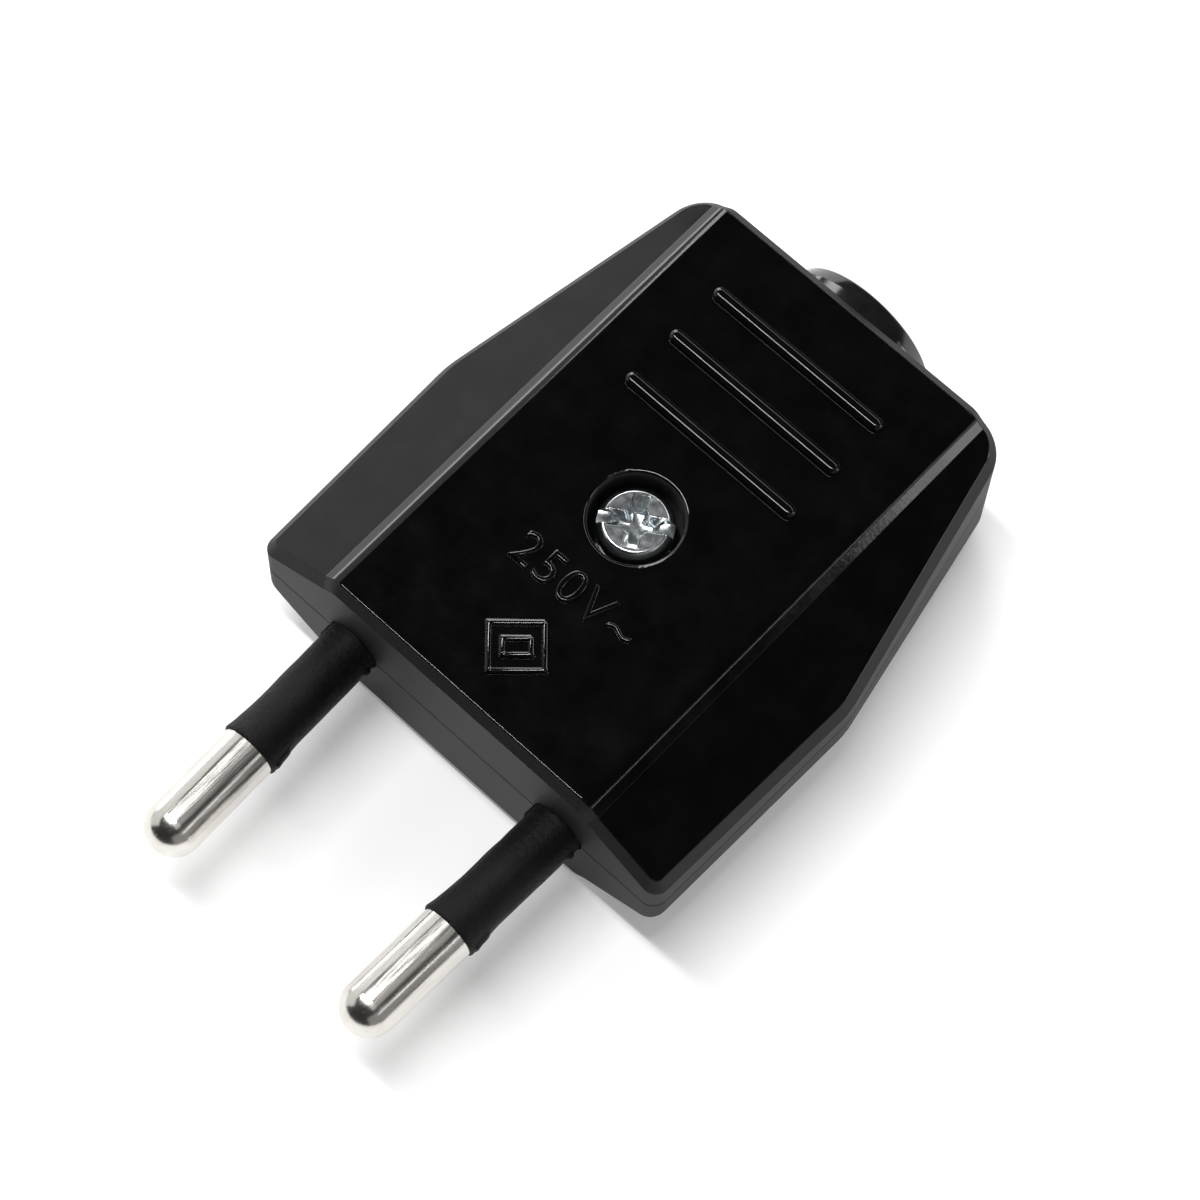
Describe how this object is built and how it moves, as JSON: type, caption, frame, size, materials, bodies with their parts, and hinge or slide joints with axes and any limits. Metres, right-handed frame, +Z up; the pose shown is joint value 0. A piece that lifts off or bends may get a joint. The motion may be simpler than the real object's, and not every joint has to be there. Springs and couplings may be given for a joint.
{
  "type": "europlug",
  "caption": "Flat rewirable mains plug: black moulded halves with sloping wings, finger ribs and a centre screw, sleeved round pins at the front and a round cord outlet at the rear.",
  "frame": {"origin": "centre of the bounding box on the surface that the plug lies on", "axes": "+X across the pins, -Y out along the pins, +Y out of the cord outlet, +Z up out of the ribbed panel"},
  "size_m": [0.0362, 0.0592, 0.0142],
  "materials": {
    "housing": "glossy black moulding",
    "bush": "glossy black moulding",
    "sleeves": "matte black moulding",
    "pins": "bright nickel plate with fine lengthwise scratches",
    "screws": "bright zinc plate",
    "brass": "turned",
    "clamp": "plain moulding"
  },
  "bodies": {
    "root": {"upper_shell": "housing", "lower_shell": "housing", "housing_screw": "screws", "screw_insert": "brass", "pin_left": "pins", "pin_right": "pins", "sleeve_left": "sleeves", "sleeve_right": "sleeves", "terminal_screw_left": "screws", "terminal_screw_right": "screws", "cord_clamp": "clamp", "clamp_screw_left": "screws", "clamp_screw_right": "screws", "cable_bush": "bush"}
  },
  "joints": []
}
